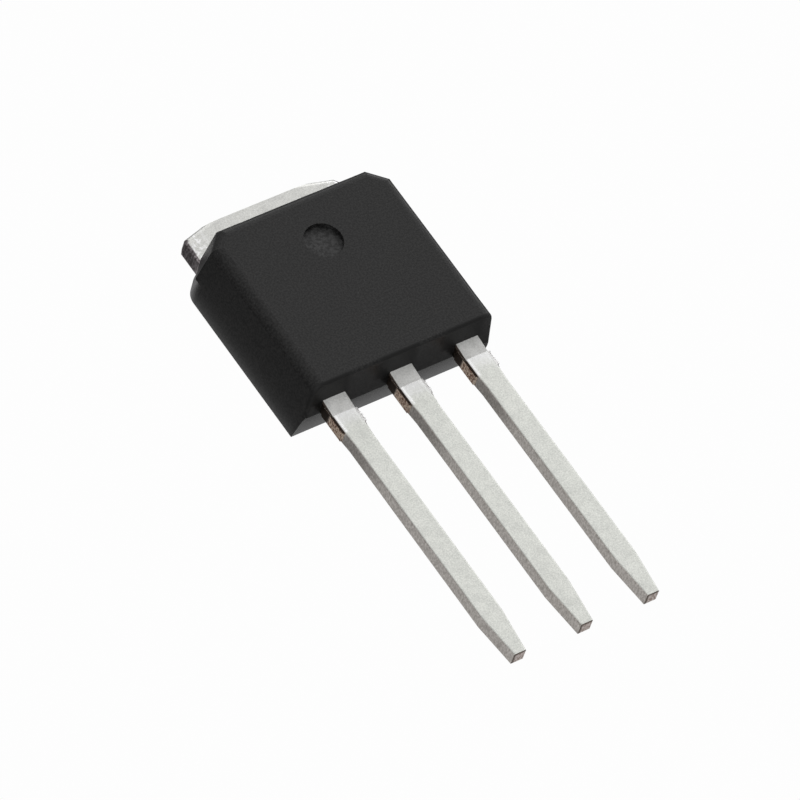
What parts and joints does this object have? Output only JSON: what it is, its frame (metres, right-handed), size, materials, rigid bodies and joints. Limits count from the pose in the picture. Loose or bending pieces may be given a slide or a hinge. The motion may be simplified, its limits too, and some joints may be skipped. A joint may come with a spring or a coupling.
{
  "type": "power transistor",
  "caption": "Flat moulded transistor package with a thin metal heat-sink tab and long straight tapered leads, lying on its back.",
  "frame": {"origin": "centre of the moulded body's outline, in the plane of its back face, which goes against a heat sink", "axes": "+Z is the normal of the marked face, +Y runs towards the tab, the leads point to -Y, and +X runs from the gate lead to the source lead"},
  "size_m": [0.0066, 0.0165, 0.0023],
  "materials": {
    "mould_compound": "fine matt moulded surface of filled epoxy",
    "tinned_copper": "matt tin plating on stamped copper, bare copper where it was sheared after plating",
    "silicon": "polished chip with a metal layer on top",
    "solder": "satin soft solder",
    "bond_aluminium": "smooth drawn wire"
  },
  "bodies": {
    "root": {"mould_body": "mould_compound", "drain_leadframe": "tinned_copper", "gate_lead": "tinned_copper", "source_lead": "tinned_copper", "silicon_die": "silicon", "die_solder": "solder", "gate_wire": "bond_aluminium", "source_wire_inner": "bond_aluminium", "source_wire_outer": "bond_aluminium"}
  },
  "joints": []
}
